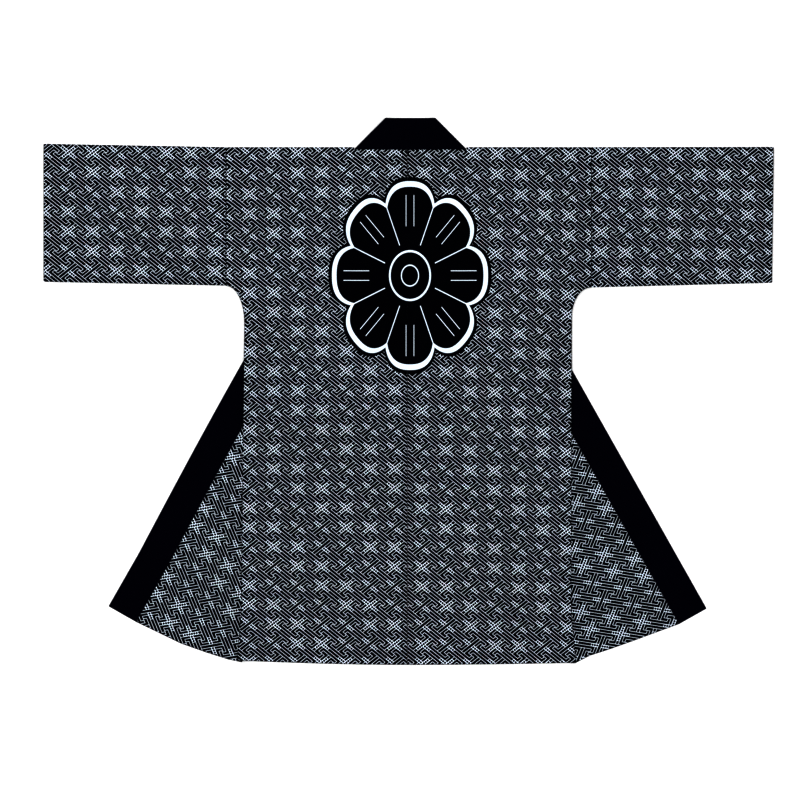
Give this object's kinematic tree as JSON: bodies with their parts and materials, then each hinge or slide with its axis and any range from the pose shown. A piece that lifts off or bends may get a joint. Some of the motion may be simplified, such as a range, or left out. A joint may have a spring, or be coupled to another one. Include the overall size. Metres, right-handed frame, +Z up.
{
  "type": "happi coat",
  "caption": "Short cotton festival coat with straight sleeves and a plain neckband, laid flat back up with both fronts folded out.",
  "frame": {"origin": "on the surface the coat lies on, under the middle of its laid-out outline", "axes": "+X to the right along the sleeves, +Y from the hem to the collar, +Z up out of the cloth"},
  "size_m": [1.3, 0.9737, 0.0042],
  "materials": {
    "printed_cotton": "matt plain-weave cotton, black with a fine pale key fret print",
    "band_cotton": "matt plain black cotton, doubled"
  },
  "bodies": {
    "root": {"body_left": "printed_cotton", "body_right": "printed_cotton", "sleeve_left": "printed_cotton", "sleeve_right": "printed_cotton", "collar": "band_cotton"}
  },
  "joints": []
}
